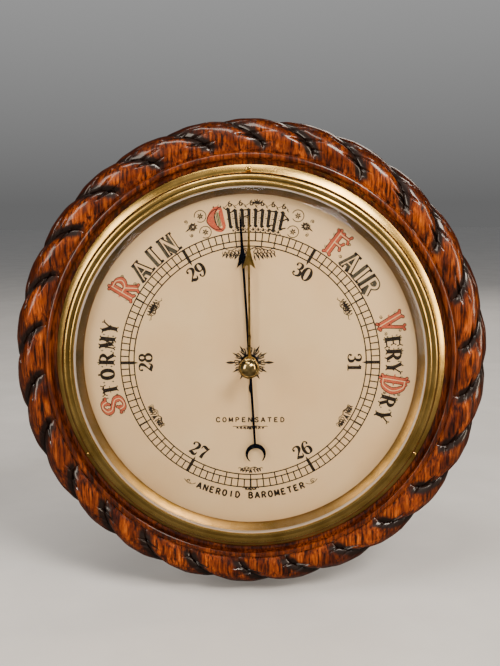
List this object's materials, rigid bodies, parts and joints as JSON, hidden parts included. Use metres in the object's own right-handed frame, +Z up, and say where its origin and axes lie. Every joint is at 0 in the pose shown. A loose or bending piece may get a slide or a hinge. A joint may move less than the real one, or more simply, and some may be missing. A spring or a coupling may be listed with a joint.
{
  "type": "aneroid barometer",
  "caption": "Round wall aneroid barometer in a turned oak case with a carved rope rim, brass bezel, bevelled glass, printed dial, blued pointer and brass set hand.",
  "frame": {"origin": "centre of the case's flat back, on the wall plane", "axes": "+Z up, the dial faces -Y, +Y points into the wall, +X to the right as the dial is read"},
  "size_m": [0.2882, 0.062, 0.2882],
  "materials": {
    "oak": "carved oak, stained and french polished, dark in the recesses",
    "lacquered_brass": "turned and lacquered, mellowed with age",
    "gilt_brass": "spun and gilt, satin",
    "glass": "clear plate with a polished bevel",
    "enamel": "cream enamel with a printed scale, softly glossy",
    "blued_steel": "blued, polished",
    "iron": "blackened",
    "nickel": "nickel plated, pressed",
    "plain_brass": "plain brass, lightly tarnished",
    "steel": "turned steel"
  },
  "bodies": {
    "case": {"oak_case": "oak", "hanging_plate": "plain_brass", "hanging_plate_screw_left": "plain_brass", "hanging_plate_screw_right": "plain_brass", "brass_bezel": "lacquered_brass", "bezel_screw_1": "lacquered_brass", "bezel_screw_2": "lacquered_brass", "bezel_screw_3": "lacquered_brass", "bevelled_glass": "glass", "sight_ring": "gilt_brass", "enamel_dial": "enamel", "dial_screw_1": "plain_brass", "dial_screw_2": "plain_brass", "dial_screw_3": "plain_brass", "movement_plate": "plain_brass", "plate_screw_1": "steel", "plate_screw_2": "steel", "plate_screw_3": "steel", "vacuum_capsule": "nickel", "spring_bridge": "iron", "bridge_screw": "steel", "spring_screw_left": "steel", "spring_screw_right": "steel", "arbor_pillar_left": "plain_brass", "arbor_pillar_right": "plain_brass", "arbor_bridge": "plain_brass", "arbor_bridge_screw_left": "steel", "arbor_bridge_screw_right": "steel", "cock_pillar_left": "plain_brass", "cock_pillar_right": "plain_brass", "arbor_cock": "plain_brass", "cock_screw_left": "steel", "cock_screw_right": "steel", "shaft_cock_left": "plain_brass", "shaft_cock_right": "plain_brass", "hairspring": "blued_steel", "hairspring_stud": "plain_brass", "fine_chain": "steel"},
    "pressure_lever": {"main_spring": "blued_steel", "main_lever": "steel", "lever_screw": "steel", "capsule_stud": "steel", "stud_collar": "plain_brass", "lever_link": "steel"},
    "rocking_shaft": {"rocking_shaft": "steel", "crank_arm": "plain_brass", "chain_arm": "plain_brass"},
    "pointer": {"pointer_arbor": "steel", "hairspring_collet": "plain_brass", "pointer_hand": "blued_steel"},
    "set_hand": {"set_hand": "lacquered_brass", "set_spindle": "lacquered_brass", "set_knob": "lacquered_brass"},
    "adjusting_screw": {"adjusting_screw": "steel"}
  },
  "joints": [
    {"name": "rocking_shaft_turn", "type": "hinge", "parent": "case", "child": "rocking_shaft", "pos_m": [0, -0.0155, 0.045], "axis": [1, 0, 0], "range_deg": [-21.26, 9.59]},
    {"name": "pointer_turn", "type": "hinge", "parent": "case", "child": "pointer", "pos_m": [0, -0.034, 0], "axis": [0, 1, 0], "range_deg": [-206.75, 93.3], "deforming": ["hairspring", "fine_chain"]},
    {"name": "pressure_lever_rise", "type": "hinge", "parent": "case", "child": "pressure_lever", "pos_m": [0, -0.0236, -0.029], "axis": [1, 0, 0], "range_deg": [-0.62, 1.37], "deforming": ["main_spring"]},
    {"name": "set_hand_turn", "type": "hinge", "parent": "case", "child": "set_hand", "pos_m": [0, -0.047, 0], "axis": [0, 1, 0], "continuous": true},
    {"name": "adjusting_screw_turn", "type": "hinge", "parent": "case", "child": "adjusting_screw", "pos_m": [0.038, -0.005, -0.019], "axis": [0, 1, 0], "range_deg": [-180, 180]}
  ],
  "couplings": [
    {"joint": "pointer_turn", "follows": "rocking_shaft_turn", "ratio": 9.7222},
    {"joint": "pressure_lever_rise", "follows": "rocking_shaft_turn", "ratio": -0.064286}
  ]
}
